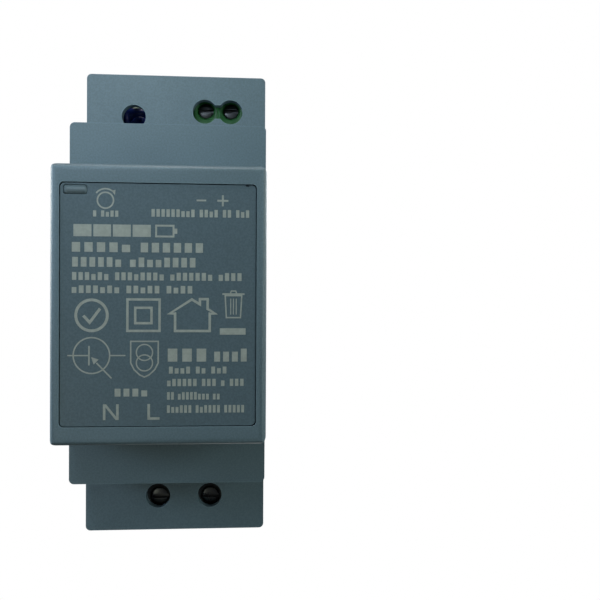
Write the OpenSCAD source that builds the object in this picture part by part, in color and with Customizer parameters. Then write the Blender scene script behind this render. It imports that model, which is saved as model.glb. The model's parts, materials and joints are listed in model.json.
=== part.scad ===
// DIN rail power supply in a stepped, two-module housing.
// X runs along the rail, +Z is up and the front faces -Y.
// The origin is the centre of the seat that lies on the rail.

/* [Housing] */
// Width along the rail
body_w = 35; // [35:0.1:35.6]
// Height of the rearmost tier
tier_a_h = 90; // [90:0.2:91]
// Height of the middle tier
tier_b_h = 64.8; // [64.4:0.2:65.4]
// Height of the front block
tier_c_h = 45.8; // [45.6:0.2:46.4]
// Overall depth from the rear face to the front face
body_d = 60; // [60:0.2:61]
// Wall thickness of the shells
wall = 1.8; // [1.6:0.1:2]
// Rounding of the front block's front edges
front_round = 1.25; // [0.8:0.05:1.6]

/* [Rail] */
// Depth of the rail notch below the rear face
notch_d = 4.2; // [4:0.1:4.4]
// Overlap of the fixed hook behind the rail's flange
hook_grip = 2.5; // [2:0.1:2.8]
// Travel of the sliding clip
clip_travel = 4; // [3:0.5:4]

/* [Terminals] */
// Distance between the two output poles
out_pitch = 5.08; // [5.08:0.01:5.12]
// Distance between the two input poles
in_pitch = 10.16; // [10.16:0.01:10.2]
// Radius of the round openings over the clamp screws
access_r = 2.4; // [2.2:0.05:2.4]
// Radius of the opening over the trimmer
trim_hole_r = 2.35; // [2:0.05:2.4]

/* [Board] */
// Thickness of the circuit board
board_t = 1.6; // [1.2:0.2:1.6]

/* [Hidden] */
$fn = 48;

// Depths, measured along Y from the rail seat
y_rear = notch_d;
y_seam = -4.5;
y_a = -31.3;
y_b = -43.5;
y_face = y_rear - body_d;
seam_gap = 0.3;
seam_step = 0.4;
corner_r = 0.9;
eps = 0.01;

// Plate in the face of the front block, and its lamp window
plate_w = 31.4;
plate_h = 39.3;
plate_t = 1.2;
plate_sink = 0.18;
plate_gap = 0.15;
plate_r = 0.7;
recess_d = plate_t + plate_sink + 0.02;
face_floor = 1.6;
lamp_x = -13.35;
lamp_z = 18.6;
lamp_w = 3.9;
lamp_h = 1.6;
pipe_r = 1.1;

// Board: components stand on its front side
y_board = -16.3;
board_w = 31;
board_h = 86;
lead_end = -board_t - 1.4;
screw_posts = [[-1, 40.4], [-12.4, -38]];
pin_posts = [[-13.6, 31], [13.8, -38]];
plain_posts = [[14, 37]];
post_r = 2.4;
pin_post_r = 1.5;
sheet_t = 0.3;
sheet_w = 29;
sheet_h = 84.4;
sheet_y = -12.3;

// Poles of the two terminal blocks, each list giving [output, input]
pole_half_w = [out_pitch / 2 - 0.02, 5];
pole_back = [4.9, 5];
pole_front = [3.8, 3.8];
pole_top = [12.4, 12.9];
cage_half_w = [2.05, 2.9];
cage_back = [3.4, 3.4];
cage_front = [2.6, 2.3];
cage_floor = 1.2;
cage_base = [0.9, 1];
cage_window = [3.5, 4.2];
cage_roof = [1.3, 1.4];
cage_side = 0.5;
cage_gap = 0.1;
cage_travel = [1.9, 2.2];
cage_top = [for (k = [0, 1]) cage_floor + cage_base[k] + cage_window[k] + cage_roof[k]];
shelf_bottom = [for (k = [0, 1]) cage_top[k] + cage_travel[k] + cage_gap];
shelf_t = [1.1, 0.9];
head_bottom = shelf_bottom + shelf_t;
head_r = [1.5, 1.7];
head_gap = 0.15;
well_flare = 0.35;
head_h = [1.7, 1.5];
shank_r = [1.2, 1.45];
shank_gap = 0.06;
bar_top = [for (k = [0, 1]) cage_floor + cage_base[k] + cage_window[k] - cage_gap];
bar_t = 0.6;
bar_half_w = [1.3, 1.8];
wire_r = [1.35, 1.7];
wire_h = [for (k = [0, 1]) cage_floor + cage_base[k] + wire_r[k] + 0.05];
pin_half_w = 0.5;
slot_w = 0.7;
slot_d = 0.9;
out_z = 39.1;
in_z = -39.1;
out_hole_z = 38.1;
in_hole_z = -38.3;
minus_x = 5.5;
plus_x = minus_x + out_pitch;
n_x = -3.4;
l_x = n_x + in_pitch;
neck_w = 2.7;

// Trimmer
trim_x = -8.4;
trim_z = 36.8;
trim_w = 6.6;
trim_l = 7;
trim_top = 8.2;
rotor_r = 1.75;
rotor_h = 1.9;
rotor_proud = 0.2;

// Side windows for the base's snap arms
snap_y = -8.85;
snap_w = 1.9;
snap_z = 32.25;
snap_h = 5.4;

// Rail clip and its spring
notch_top = 17.6;
notch_low = -18.6;
notch_low_rear = -16.2;
hook_half_w = 7.2;
relief_d = 0.2;
relief_gap = 0.2;
clip_half_w = 5.3;
clip_flange = 6.6;
clip_gap = 0.2;
clip_floor = 1;
clip_front = 1.15;
clip_rear = 3.95;
clip_step = 2.3;
rail_w = 35;
rail_clear = 1.4;
clip_tip = clip_travel - rail_w / 2 - rail_clear;
clip_end = -44.6;
spring_top = -24;
spring_low = -34;
spring_y = 2.55;
spring_r = 1.15;
wire_d = 0.4;
spring_turns = 7;
stop_h = 2.2;
clip_window_low = spring_low - stop_h - clip_gap;

// Component places on the board as [x, z]
fuse_at = [-5.4, -30];
fuse_h = 3.4;
fuse_l = 15;
fuse_r = 2.6;
cap_l = 4;
therm_at = [10.9, -29.8];
varis_at = [9.2, -24.8];
xcap_at = [-7.8, -23.7];
ycap_at = [-10.9, 13.6];
choke_at = [-8.2, -11.2];
choke_h = 10.4;
choke_r = 8;
choke_in = 4.4;
choke_t = 7;
bridge_at = [7.5, -20.7];
bulk_at = [7, -10.6];
bulk_r = 8;
bulk_h = 30;
trafo_at = [2.6, 9.4];
trafo_h = 10.3;
out_cap_r = 4;
out_cap_h = 20;
out_cap_at = [[-3.6, 25.2], [5, 25.2]];
out_choke_at = [-1.1, 33.6];
opto_at = [-11.4, 24.3];
led_r = 1.5;
sink_x = 15.2;
sink_t = 1.4;
primary_z = 3.6;
secondary_z = 25.5;
primary_lift = 5;
secondary_lift = 3.5;
tab_t = 1.3;
to220_t = 4.5;
to220_h = 9.2;
tab_hole_h = 12.5;
small_at = [
  [-6, 30], [-2, 29], [6, 18.5], [10, 20.5], [2, -24], [0, -17],
  [-12, -14], [-6, -8], [3, -2], [-4, 20], [12, -4], [-10, -30]
];

// Wires of the components as [x, z, radius, height where the wire meets the component]
function pair(at, half, r, top) = [for (s = [-1, 1]) [at[0] + s * half, at[1], r, top]];
wires = concat(
  pair(therm_at, 2.5, 0.35, 2.4),
  pair(varis_at, 2.5, 0.35, 2.6),
  pair(xcap_at, 5, 0.35, 0.7),
  [for (s = [-1, 1]) [ycap_at[0], ycap_at[1] + s * 2.5, 0.35, 2.8]],
  [for (s = [-1, 1], t = [-1, 1]) [choke_at[0] + s * 3.6, choke_at[1] + t * 6, 0.45, 2.1]],
  [for (i = [0 : 3]) [bridge_at[0] + (i - 1.5) * 3.6, bridge_at[1], 0.45, 1.6]],
  pair(bulk_at, 3.75, 0.4, 1.2),
  [for (s = [-1, 1], i = [-2 : 2]) [trafo_at[0] + s * 8.4, trafo_at[1] + i * 3.75, 0.35, 1]],
  [for (i = [-1 : 1]) [-sink_x + sink_t + 2.4, primary_z + i * 2.54, 0.4, primary_lift + 0.4]],
  [for (i = [-1 : 1]) [sink_x - sink_t - 2.4, secondary_z + i * 2.54, 0.4, secondary_lift + 0.4]],
  [for (c = out_cap_at, s = [-1, 1]) [c[0] + s * 1.75, c[1], 0.3, 1]],
  pair(out_choke_at, 2.4, 0.35, 0.8),
  [for (s = [-1, 1], t = [-1, 1]) [opto_at[0] + s * 2.8, opto_at[1] + t * 1.27, 0.3, 2.5]],
  [for (s = [-1, 1]) [trim_x + s * 2.54, trim_z - 2, 0.3, 0.7]],
  [[trim_x, trim_z + 2.2, 0.3, 0.7]],
  pair([lamp_x, lamp_z], 0.9, 0.25, 1.2)
);
bar_pins = [
  [minus_x, out_z - pole_back[0] + 0.6], [plus_x, out_z - pole_back[0] + 0.6],
  [n_x, in_z + pole_back[1] - 0.6], [l_x, in_z + pole_back[1] - 0.6]
];
tab_w = 0.8;
tab_x = sink_x - sink_t + tab_w / 2;
sink_tabs = [[-tab_x, 0.6], [-tab_x, 14.4], [tab_x, 21.8], [tab_x, 29.2]];

// Outlines and placing

module rounded(w, h, r) {
  offset(r = r, $fn = 32) square([w - 2 * r, h - 2 * r], center = true);
}

// Prism of an XZ outline from the depth y_from forward to y_to
module slab(y_from, y_to) {
  translate([0, y_from, 0]) rotate([90, 0, 0]) linear_extrude(y_from - y_to) children();
}

// Prism along X of a YZ outline
module along_x(half_w) {
  translate([-half_w, 0, 0]) rotate([90, 0, 90]) linear_extrude(2 * half_w) children();
}

// Local z is the height over the board, local y is the part's Z
module on_board() {
  translate([0, y_board, 0]) rotate([90, 0, 0]) children();
}

module at(p, h = 0) {
  translate([p[0], p[1], h]) children();
}

// Housing shells

module front_block() {
  depth = y_b - y_face;
  intersection() {
    slab(y_b + 1, y_face) rounded(body_w, tier_c_h, front_round);
    along_x(body_w) translate([y_face + depth / 2 + 1, 0]) rounded(depth + 2, tier_c_h + eps, front_round);
    linear_extrude(tier_c_h + 2, center = true) translate([0, y_face + depth / 2 + 1])
      rounded(body_w + eps, depth + 2, front_round);
  }
}

module housing_outer() {
  slab(y_seam - seam_gap / 2, y_a) rounded(body_w, tier_a_h, corner_r);
  slab(y_a + eps, y_b) rounded(body_w, tier_b_h, corner_r);
  front_block();
}

module housing_inner() {
  in_w = body_w - 2 * wall;
  slab(y_seam + 1, y_a + wall) square([in_w, tier_a_h - 2 * wall], center = true);
  slab(y_seam, y_b + wall) square([in_w, tier_b_h - 2 * wall], center = true);
  slab(y_seam, y_face + recess_d + face_floor) square([in_w, tier_c_h - 2 * wall], center = true);
}

// Round hole through the tier face, along Y
module access_hole(x, z, r) {
  translate([x, y_a + wall + 1, z]) rotate([90, 0, 0]) cylinder(h = wall + 2, r = r);
}

// Window through an end wall where the wires enter, k = 0 top, 1 bottom
module wire_window(x, k) {
  half = k == 0 ? 2.15 : 2.8;
  tall = k == 0 ? 4.6 : 5.6;
  z_mid = (k == 0 ? 1 : -1) * (tier_a_h - wall) / 2;
  translate([x, y_board - wire_h[k], z_mid]) cube([2 * half, tall, wall + 2], center = true);
}

module vent_slots(xs, y_from, len, top) {
  for (x = xs)
    translate([x, y_from - len / 2, top * (tier_a_h - wall) / 2]) cube([1.3, len, wall + 2], center = true);
}

module front_housing() {
  color([0.38, 0.45, 0.48]) difference() {
    housing_outer();
    housing_inner();
    slab(y_face + recess_d, y_face - 1) rounded(plate_w + 2 * plate_gap, plate_h + 2 * plate_gap, plate_r);
    translate([lamp_x, y_face + recess_d + face_floor + 1, lamp_z]) rotate([90, 0, 0])
      cylinder(h = face_floor + 2, r = pipe_r + 0.1);
    for (sx = [-1, 1], sz = [-1, 1])
      translate([sx * 12, y_face + recess_d + face_floor + 1, sz * 12]) rotate([90, 0, 0])
        cylinder(h = face_floor + 2, r = 1);
    for (x = [minus_x, plus_x]) access_hole(x, out_hole_z, access_r);
    translate([minus_x, y_a - 1, out_hole_z - neck_w / 2]) cube([out_pitch, wall + 2, neck_w]);
    for (x = [n_x, l_x]) access_hole(x, in_hole_z, access_r);
    access_hole(trim_x, trim_z, trim_hole_r);
    for (x = [minus_x, plus_x]) wire_window(x, 0);
    for (x = [n_x, l_x]) wire_window(x, 1);
    for (sx = [-1, 1], sz = [-1, 1])
      translate([sx * body_w / 2, snap_y, sz * snap_z]) cube([2 * wall + 1, snap_w, snap_h], center = true);
    vent_slots([for (i = [0 : 4]) -13.4 + i * 2.8], -8, 19, 1);
    vent_slots([for (i = [0 : 4]) 2.4 + i * 2.8], -8, 6, 1);
    vent_slots([for (i = [0 : 9]) -12.6 + i * 2.8], -8, 6, -1);
  }
}

module snap_arm() {
  translate([14.5, snap_y - 1.5, -2.45]) cube([1.05, -4 - snap_y + 1.5, 4.9]);
  translate([15.5, snap_y - 0.7, -2.45]) cube([1.7, 1.4, 4.9]);
}

// Post from the floor of the base to the back of the board
module post(p, r, y_foot) {
  translate([p[0], y_foot, p[1]]) rotate([90, 0, 0]) cylinder(h = y_foot - y_board - board_t, r = r);
}

module clip_channel() {
  low = -tier_a_h / 2 - 1;
  high = notch_top - 20;
  wide = clip_flange + clip_gap;
  narrow = clip_half_w + clip_gap;
  translate([-wide, clip_floor, low]) cube([2 * wide, clip_step + clip_gap - clip_floor, high - low]);
  translate([-narrow, clip_floor, low]) cube([2 * narrow, y_rear, high - low]);
}

module fixed_hook() {
  tip = notch_top - hook_grip;
  lip_in = 1.35;
  along_x(hook_half_w) polygon([
    [y_rear, 19.4], [y_rear, tip + 2.2], [y_rear - 2, tip], [lip_in, tip],
    [lip_in, tip + 0.5], [3.1, tip + 2.3], [3.1, 19.4]
  ]);
}

module rear_base() {
  inner_w = body_w - 2 * wall - 0.3;
  inner_h = tier_a_h - 2 * wall - 0.3;
  tongue = 1.2;
  floor_y = -1.8;
  color([0.35, 0.42, 0.45]) {
    difference() {
      union() {
        slab(y_rear, y_seam + seam_gap / 2) rounded(body_w, tier_a_h, corner_r);
        slab(y_seam + 1, y_seam - seam_gap / 2)
          rounded(body_w - 2 * seam_step, tier_a_h - 2 * seam_step, corner_r);
        slab(y_seam + 1, y_seam - 2.3) square([inner_w, inner_h], center = true);
      }
      slab(floor_y, y_seam - 3) square([inner_w - 2 * tongue, inner_h - 2 * tongue], center = true);
      along_x(body_w) polygon([
        [0, notch_low], [y_rear + eps, notch_low_rear], [y_rear + 1, notch_low_rear],
        [y_rear + 1, notch_top], [0, notch_top]
      ]);
      translate([-hook_half_w - 0.4, 0, notch_top - 1]) cube([2 * hook_half_w + 0.8, y_rear + 1, 2.8]);
      translate([-hook_half_w - 0.4, -relief_d, notch_top - hook_grip - relief_gap])
        cube([2 * hook_half_w + 0.8, 1, hook_grip + relief_gap]);
      translate([-body_w / 2 - 1, -relief_d, notch_low])
        cube([body_w + 2, 1, notch_low_rear + relief_gap - notch_low]);
      translate([-clip_half_w - clip_gap, -relief_d, notch_low])
        cube([2 * (clip_half_w + clip_gap), 1, clip_tip + relief_gap - notch_low]);
      clip_channel();
      for (i = [0 : 3], j = [0, 1])
        translate([-15.6 + i * 8.1, 1.6, 21.2 + j * 11.2]) cube([6.9, y_rear, 10]);
      for (sx = [-1, 1], j = [0, 1])
        translate([sx * 12 - 3.45, 1.6, -43.2 + j * 11.8]) cube([6.9, y_rear, 10.6]);
    }
    fixed_hook();
    for (sx = [0, 1], sz = [-1, 1]) mirror([sx, 0, 0]) translate([0, 0, sz * snap_z]) snap_arm();
    for (p = screw_posts) difference() {
      post(p, post_r, floor_y + 1);
      translate([p[0], y_board + board_t + 9, p[1]]) rotate([90, 0, 0]) cylinder(h = 12, r = 1.3);
    }
    for (p = pin_posts) {
      post(p, pin_post_r, floor_y + 1);
      post_pin(p);
    }
    for (p = plain_posts) post(p, pin_post_r, floor_y + 1);
    translate([-1.9, clip_floor - 0.5, spring_low - stop_h]) cube([3.8, clip_rear - clip_floor + 0.3, stop_h]);
    translate([0, spring_y, spring_low - 0.5]) cylinder(h = 2.3, r = 0.65);
  }
}

// Pin that locates the board on a post
module post_pin(p) {
  translate([p[0], y_board + board_t + 0.5, p[1]]) rotate([90, 0, 0]) cylinder(h = board_t + 1.1, r = 0.9);
}

// Front plate and lamp

module front_plate() {
  front = y_face + plate_sink;
  color([0.38, 0.45, 0.48]) {
    slab(front + plate_t, front) difference() {
      rounded(plate_w, plate_h, plate_r);
      translate([lamp_x, lamp_z]) rounded(lamp_w, lamp_h, 0.45);
      translate([14.3, plate_h / 2]) square([0.6, 0.5], center = true);
    }
    for (sx = [-1, 1], sz = [-1, 1])
      translate([sx * 12, front + plate_t + 1.5, sz * 12]) rotate([90, 0, 0]) cylinder(h = 1.6, r = 0.9);
  }
}

module light_pipe() {
  front = y_face + plate_sink;
  color([0.62, 0.68, 0.68, 0.8]) {
    slab(front + plate_t + eps, front + 0.05) translate([lamp_x, lamp_z])
      rounded(lamp_w - 0.2, lamp_h - 0.2, 0.4);
    slab(y_board - 6, front + plate_t) translate([lamp_x, lamp_z]) circle(r = pipe_r);
  }
}

module status_led() {
  color([0.35, 0.75, 0.4, 0.9]) on_board() at([lamp_x, lamp_z], 0.8) {
    cylinder(h = 0.8, r = led_r + 0.2);
    cylinder(h = 3, r = led_r);
    translate([0, 0, 3]) intersection() {
      sphere(r = led_r);
      cylinder(h = led_r, r = led_r);
    }
  }
}

// Board and its fixings

module main_board() {
  color([0.13, 0.32, 0.2]) on_board() translate([0, 0, -board_t]) difference() {
    linear_extrude(board_t) rounded(board_w, board_h, 0.6);
    for (w = wires) at(w, -1) cylinder(h = board_t + 2, r = w[2] + 0.12, $fn = 24);
    for (p = bar_pins) at(p, -1) cylinder(h = board_t + 2, r = 0.72, $fn = 24);
    for (p = screw_posts) at(p, -1) cylinder(h = board_t + 2, r = 1.5);
    for (p = pin_posts) at(p, -1) cylinder(h = board_t + 2, r = 1);
    for (p = sink_tabs) at(p) cube([tab_w + 0.3, 1.8, 3 * board_t], center = true);
    for (s = [-1, 1]) at([fuse_at[0] + s * 8.7, fuse_at[1]], -1) cylinder(h = board_t + 2, r = 0.55, $fn = 24);
    at(opto_at) cube([1.2, 7, 3 * board_t], center = true);
  }
}

module insulation_sheet() {
  color([0.93, 0.92, 0.84, 0.85]) slab(sheet_y + sheet_t, sheet_y) difference() {
    square([sheet_w, sheet_h], center = true);
    for (p = screw_posts) translate(p) circle(r = post_r + 0.3);
    for (p = concat(pin_posts, plain_posts)) translate(p) circle(r = pin_post_r + 0.3);
  }
}

module board_screws() {
  color([0.72, 0.73, 0.75]) on_board() for (p = screw_posts) at(p) difference() {
    union() {
      translate([0, 0, 0.02]) cylinder(h = 1.7, r = 2.3);
      translate([0, 0, -9]) cylinder(h = 9.1, r = 1.25);
    }
    for (a = [0, 90]) rotate(a) translate([-1.5, -0.3, 0.9]) cube([3, 0.6, 2]);
  }
}

// Rail clip

module rail_clip() {
  nose = clip_rear - 2.2;
  color([0.3, 0.36, 0.39]) difference() {
    union() {
      along_x(clip_half_w) polygon([
        [clip_front, clip_end], [clip_front, clip_tip - 0.6], [clip_front + 0.6, clip_tip],
        [2.2, clip_tip], [clip_rear, clip_tip - nose], [clip_rear, clip_end]
      ]);
      translate([-clip_flange, clip_front, -43]) cube([2 * clip_flange, clip_step - clip_front, 23]);
    }
    translate([-2.2, 0, clip_window_low]) cube([4.4, 5, spring_top - clip_window_low]);
    translate([-2.2, 0, -43.2]) cube([4.4, 5, 1.8]);
  }
  color([0.3, 0.36, 0.39]) translate([0, spring_y, spring_top - 2]) cylinder(h = 2.2, r = 0.65);
}

// A ring of the spring's wire, then the wire swept along its helix
function ring_point(turn, side, sides) =
  let (
    a = 360 * turn,
    b = 360 * side / sides,
    r = spring_r + wire_d / 2 * cos(b),
    rise = (spring_top - spring_low - wire_d) / spring_turns
  ) [r * cos(a), r * sin(a), wire_d / 2 + rise * turn + wire_d / 2 * sin(b)];

module rail_clip_spring() {
  sides = 6;
  steps = 14;
  rings = spring_turns * steps;
  points = [for (i = [0 : rings], j = [0 : sides - 1]) ring_point(i / steps, j, sides)];
  walls = [for (i = [0 : rings - 1], j = [0 : sides - 1])
    [i * sides + j, (i + 1) * sides + j, (i + 1) * sides + (j + 1) % sides, i * sides + (j + 1) % sides]];
  ends = [[for (j = [0 : sides - 1]) j], [for (j = [0 : sides - 1]) rings * sides + sides - 1 - j]];
  color([0.75, 0.76, 0.78]) translate([0, spring_y, spring_low])
    polyhedron(points = points, faces = concat(walls, ends), convexity = 10);
}

// One pole of a terminal block: k = 0 output, 1 input. The origin is under the screw and the wire
// enters from local +y.

module pole_housing(k) {
  w = cage_half_w[k] + cage_gap;
  pin_y = -pole_back[k] + 0.6;
  difference() {
    translate([-pole_half_w[k], -pole_back[k], 0])
      cube([2 * pole_half_w[k], pole_back[k] + pole_front[k], pole_top[k]]);
    translate([-w, -cage_back[k] - cage_gap, cage_floor - cage_gap])
      cube([2 * w, cage_back[k] + cage_front[k] + 2 * cage_gap, shelf_bottom[k] - cage_floor + cage_gap]);
    translate([0, 0, cage_floor]) cylinder(h = pole_top[k], r = shank_r[k] + 0.08);
    translate([0, 0, head_bottom[k]]) cylinder(h = 5, r = head_r[k] + head_gap);
    translate([0, 0, pole_top[k] - well_flare])
      cylinder(h = well_flare + eps, r1 = head_r[k] + head_gap, r2 = head_r[k] + head_gap + well_flare);
    translate([0, pole_front[k] + 1, wire_h[k]]) rotate([90, 0, 0])
      cylinder(h = pole_front[k] - cage_front[k] + 1.05, r = wire_r[k]);
    translate([-pin_half_w - 0.05, pin_y - bar_t / 2 - 0.05, -1])
      cube([2 * pin_half_w + 0.1, bar_t + 0.1, bar_top[k] + 1.05]);
    translate([-bar_half_w[k] - 0.05, pin_y - bar_t / 2 - 0.05, bar_top[k] - bar_t - 0.05])
      cube([2 * bar_half_w[k] + 0.1, pole_back[k] - 0.3, bar_t + 0.1]);
  }
}

module pole_screw(k) {
  color([0.74, 0.74, 0.72]) difference() {
    union() {
      translate([0, 0, head_bottom[k] + 0.03]) cylinder(h = head_h[k], r = head_r[k]);
      translate([0, 0, bar_top[k] + 0.2]) cylinder(h = head_bottom[k] - bar_top[k], r = shank_r[k]);
    }
    translate([-head_r[k] - 1, -slot_w / 2, head_bottom[k] + head_h[k] - slot_d])
      cube([2 * head_r[k] + 2, slot_w, slot_d + 1]);
  }
}

module pole_cage(k) {
  w = cage_half_w[k];
  color([0.78, 0.77, 0.7]) difference() {
    translate([-w, -cage_back[k], cage_floor])
      cube([2 * w, cage_back[k] + cage_front[k], cage_top[k] - cage_floor]);
    translate([-w + cage_side, -cage_back[k] - 1, cage_floor + cage_base[k]])
      cube([2 * (w - cage_side), cage_back[k] + cage_front[k] + 2, cage_window[k]]);
    translate([0, 0, cage_top[k] - cage_roof[k] - 0.5]) cylinder(h = cage_roof[k] + 1, r = shank_r[k] + shank_gap);
  }
}

module pole_bar(k) {
  pin_y = -pole_back[k] + 0.6;
  color([0.82, 0.78, 0.68]) {
    translate([-bar_half_w[k], pin_y - bar_t / 2, bar_top[k] - bar_t])
      cube([2 * bar_half_w[k], cage_front[k] - pin_y + bar_t / 2 - 0.1, bar_t]);
    translate([-pin_half_w, pin_y - bar_t / 2, lead_end])
      cube([2 * pin_half_w, bar_t, bar_top[k] - lead_end - 0.1]);
  }
}

module output_pole(x) {
  on_board() translate([x, out_z, 0]) children();
}

module input_pole(x) {
  on_board() translate([x, in_z, 0]) mirror([0, 1, 0]) children();
}

module minus_pole_housing() { output_pole(minus_x) color([0.16, 0.42, 0.22]) pole_housing(0); }
module plus_pole_housing() { output_pole(plus_x) color([0.16, 0.42, 0.22]) pole_housing(0); }
module n_pole_housing() { input_pole(n_x) color([0.1, 0.11, 0.11]) pole_housing(1); }
module l_pole_housing() { input_pole(l_x) color([0.1, 0.11, 0.11]) pole_housing(1); }
module minus_screw() { output_pole(minus_x) pole_screw(0); }
module plus_screw() { output_pole(plus_x) pole_screw(0); }
module n_screw() { input_pole(n_x) pole_screw(1); }
module l_screw() { input_pole(l_x) pole_screw(1); }
module minus_cage() { output_pole(minus_x) pole_cage(0); }
module plus_cage() { output_pole(plus_x) pole_cage(0); }
module n_cage() { input_pole(n_x) pole_cage(1); }
module l_cage() { input_pole(l_x) pole_cage(1); }
module output_current_bars() { for (x = [minus_x, plus_x]) output_pole(x) pole_bar(0); }
module input_current_bars() { for (x = [n_x, l_x]) input_pole(x) pole_bar(1); }

// Trimmer

module trimmer_body() {
  color([0.1, 0.2, 0.55]) on_board() at([trim_x, trim_z], 0.3) difference() {
    translate([-trim_w / 2, -trim_l / 2, 0]) cube([trim_w, trim_l, trim_top - 0.3]);
    translate([0, 0, trim_top - 0.3 - rotor_h]) cylinder(h = 5, r = rotor_r + 0.06);
    translate([0, 0, 1]) cylinder(h = trim_top, r = 0.86);
  }
}

module trimmer_rotor() {
  color([0.1, 0.2, 0.55]) on_board() at([trim_x, trim_z]) difference() {
    union() {
      translate([0, 0, trim_top - rotor_h + 0.05]) cylinder(h = rotor_h + rotor_proud - 0.05, r = rotor_r);
      translate([0, 0, 1.5]) cylinder(h = trim_top - rotor_h - 1, r = 0.8);
    }
    for (a = [0, 90]) rotate(a)
      translate([-1.4, -0.35, trim_top + rotor_proud - 0.8]) cube([2.8, 0.7, 2]);
  }
}

// Input protection and filter

module fuse_tube() {
  color([0.85, 0.86, 0.84, 0.5]) on_board() at(fuse_at, fuse_h) rotate([0, 90, 0]) difference() {
    cylinder(h = fuse_l - 1, r = fuse_r - 0.25, center = true);
    cylinder(h = fuse_l, r = fuse_r - 0.8, center = true);
  }
}

module fuse_caps() {
  color([0.8, 0.8, 0.78]) on_board() at(fuse_at, fuse_h) {
    for (s = [0, 1]) mirror([s, 0, 0]) translate([fuse_l / 2, 0, 0]) rotate([0, -90, 0]) difference() {
      cylinder(h = cap_l, r = fuse_r);
      translate([0, 0, 0.45]) cylinder(h = cap_l, r = fuse_r - 0.23);
    }
    rotate([0, 90, 0]) cylinder(h = fuse_l - 0.9, r = 0.12, center = true, $fn = 16);
  }
}

// Disc component standing on its edge; turn = 0 faces local y, 90 faces local x
module disc(at_point, r, t, lift, turn) {
  on_board() at(at_point, lift + r) rotate([90, 0, turn]) rotate_extrude() polygon([
    [0, -t / 2], [r - 0.8, -t / 2], [r - 0.2, -t / 4], [r, 0],
    [r - 0.2, t / 4], [r - 0.8, t / 2], [0, t / 2]
  ]);
}

module inrush_thermistor() { color([0.12, 0.13, 0.12]) disc(therm_at, 4, 3.6, 1.2, 0); }
module surge_varistor() { color([0.12, 0.28, 0.55]) disc(varis_at, 5, 4, 1.5, 0); }
module y_capacitor() { color([0.16, 0.32, 0.62]) disc(ycap_at, 3.6, 3.2, 1.5, 90); }

module x_capacitor() {
  color([0.85, 0.72, 0.15]) on_board() at(xcap_at, 0.3) difference() {
    linear_extrude(12) rounded(14.2, 6, 0.5);
    translate([0, 0, -1]) linear_extrude(1.4) rounded(12.6, 4.6, 0.3);
  }
}

module choke_ring(r_in, r_out, half_t) {
  rotate_extrude() translate([r_in, -half_t]) square([r_out - r_in, 2 * half_t]);
}

module choke_frame() {
  on_board() at(choke_at, choke_h) rotate([0, 90, 0]) children();
}

module choke_core() {
  color([0.2, 0.21, 0.2]) choke_frame() choke_ring(choke_in, choke_r, choke_t / 2);
}

module choke_windings() {
  grow = 0.85;
  color([0.72, 0.38, 0.16]) choke_frame() for (a = [20, 200]) rotate(a) difference() {
    rotate_extrude(angle = 140) translate([choke_in - grow, -choke_t / 2 - grow])
      square([choke_r - choke_in + 2 * grow, choke_t + 2 * grow]);
    choke_ring(choke_in - 0.03, choke_r + 0.03, choke_t / 2 + 0.03);
  }
}

module choke_base() {
  color([0.12, 0.12, 0.13]) on_board() at(choke_at, 0.3) difference() {
    linear_extrude(2) rounded(12.6, 17.4, 0.8);
    translate([0, 0, choke_h - 0.3]) rotate([0, 90, 0]) cylinder(h = choke_t + 2.4, r = choke_r + 1, center = true);
  }
}

module bridge_rectifier() {
  color([0.1, 0.1, 0.11]) on_board() at(bridge_at, 1.2) rotate([90, 0, 0])
    linear_extrude(3.4, center = true)
      polygon([[-7.1, 0], [7.1, 0], [7.1, 10.4], [-5.1, 10.4], [-7.1, 8.4]]);
}

// Can of an electrolytic capacitor with its rolled groove and bung
module can(r, h) {
  rotate_extrude() polygon([
    [0, 0.5], [r - 1.2, 0.5], [r - 0.9, 0], [r - 0.3, 0], [r, 0.4], [r, 1.6], [r - 0.5, 2.1],
    [r, 2.6], [r, h - 0.6], [r - 0.6, h], [r - 1.4, h], [r - 1.6, h - 0.25], [0, h - 0.25]
  ]);
}

module sleeve(r, h) {
  rotate_extrude() polygon([
    [r, 2.7], [r + 0.15, 2.7], [r + 0.15, h - 0.5], [r - 0.5, h + 0.15], [r - 1.3, h + 0.15],
    [r - 1.3, h], [r - 0.6, h], [r, h - 0.6]
  ]);
}

module bulk_capacitor() {
  color([0.78, 0.79, 0.8]) on_board() at(bulk_at, 0.4) can(bulk_r - 0.15, bulk_h);
}

module bulk_capacitor_sleeve() {
  color([0.09, 0.1, 0.13]) on_board() at(bulk_at, 0.4) sleeve(bulk_r - 0.13, bulk_h);
}

// Transformer

module e_half() {
  translate([7, -10, -3]) cube([3, 20, 6]);
  for (y = [-10, 7.2]) translate([0.02, y, -3]) cube([7.5, 2.8, 6]);
  translate([0.02, -2.8, -3]) cube([7.5, 5.6, 6]);
}

module transformer_core() {
  color([0.17, 0.17, 0.17]) on_board() at(trafo_at, trafo_h)
    for (s = [0, 1]) mirror([s, 0, 0]) e_half();
}

module transformer_bobbin() {
  color([0.13, 0.12, 0.12]) on_board() at(trafo_at, trafo_h) difference() {
    union() {
      for (s = [0, 1]) mirror([s, 0, 0]) {
        translate([6, -6.9, -7.4]) cube([0.8, 13.8, 14.8]);
        translate([6, -9.4, -9.9]) cube([3.6, 18.8, 3.8]);
      }
      cube([12.4, 7.2, 7.6], center = true);
    }
    cube([16, 5.8, 6.2], center = true);
  }
}

module transformer_winding() {
  color([0.9, 0.74, 0.2]) on_board() at(trafo_at, trafo_h) rotate([0, 90, 0])
    linear_extrude(11.9, center = true) difference() {
      rounded(13.4, 13.2, 1.6);
      square([7.64, 7.24], center = true);
    }
}

// Heat sinks with their transistors; side = -1 left wall, 1 right wall

module sink_place(side) {
  on_board() mirror([side > 0 ? 1 : 0, 0, 0]) translate([-sink_x, 0, 0]) children();
}

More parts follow.
